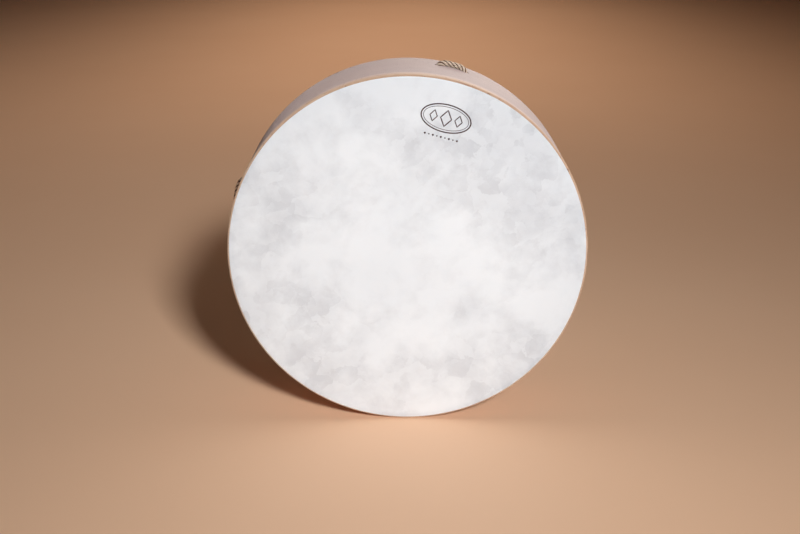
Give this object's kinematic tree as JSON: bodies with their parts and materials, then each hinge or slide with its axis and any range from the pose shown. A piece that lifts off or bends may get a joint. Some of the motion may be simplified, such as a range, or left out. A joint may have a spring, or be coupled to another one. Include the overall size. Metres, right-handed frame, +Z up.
{
  "type": "frame drum",
  "caption": "Shallow round hand drum with a glued-on fibre-film head, a laminated hoop in a thin grey covering, and a crossed rope handle laced through the hoop.",
  "frame": {"origin": "on the surface that the drum stands on, under the middle of the drum's depth and width", "axes": "+Y along the drum's axis from the head to the open back, +Z up; the head faces -Y"},
  "size_m": [0.3106, 0.0888, 0.3076],
  "materials": {
    "fibre_shell": "raw resin-bonded wood fibre, satin",
    "grey_covering": "matte grey-taupe sheet",
    "head_film": "off-white fibre-mottled film, soft satin",
    "glue": "cured adhesive",
    "rope": "braided natural cord",
    "lashing_cord": "twisted natural cord"
  },
  "bodies": {
    "root": {"shell_hoop": "fibre_shell", "shell_covering": "grey_covering", "drumhead": "head_film", "head_glue_band": "glue", "vertical_rope": "rope", "horizontal_rope": "rope", "center_lashing": "lashing_cord"}
  },
  "joints": []
}
